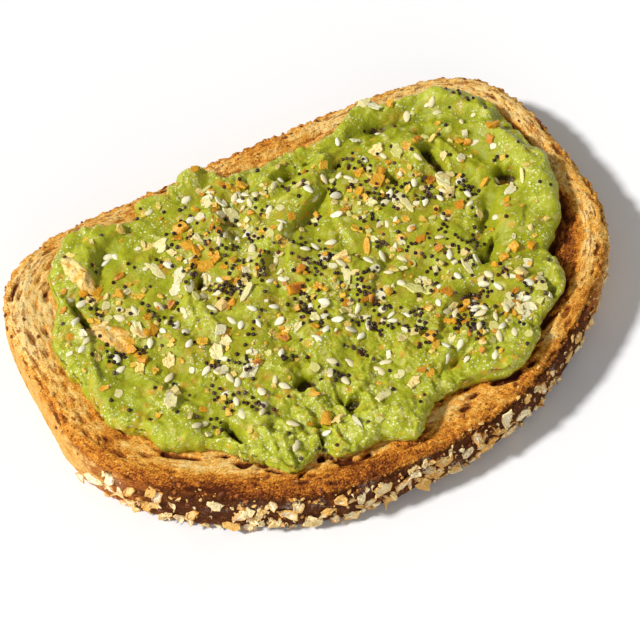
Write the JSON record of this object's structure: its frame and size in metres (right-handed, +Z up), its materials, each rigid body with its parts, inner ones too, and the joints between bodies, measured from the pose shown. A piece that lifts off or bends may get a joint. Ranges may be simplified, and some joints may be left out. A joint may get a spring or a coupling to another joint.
{
  "type": "avocado toast",
  "caption": "Slice of toasted bread with an oat-covered domed crust, spread with mashed avocado and sprinkled with seeds and dried flakes.",
  "frame": {"origin": "middle of the slice's footprint, on the surface it lies on", "axes": "+X across the loaf's width, +Y towards the flat crust from the bottom of the tin, -Y towards the domed crust with the oats, +Z up through the mashed avocado"},
  "size_m": [0.1616, 0.1113, 0.0256],
  "materials": {
    "toasted_bread": "dry toasted crumb with a darker crust and pale oats on its dome",
    "avocado": "moist mashed avocado with pale seeds and dried flakes"
  },
  "bodies": {
    "root": {"toast_slice": "toasted_bread", "avocado_mash": "avocado"}
  },
  "joints": []
}
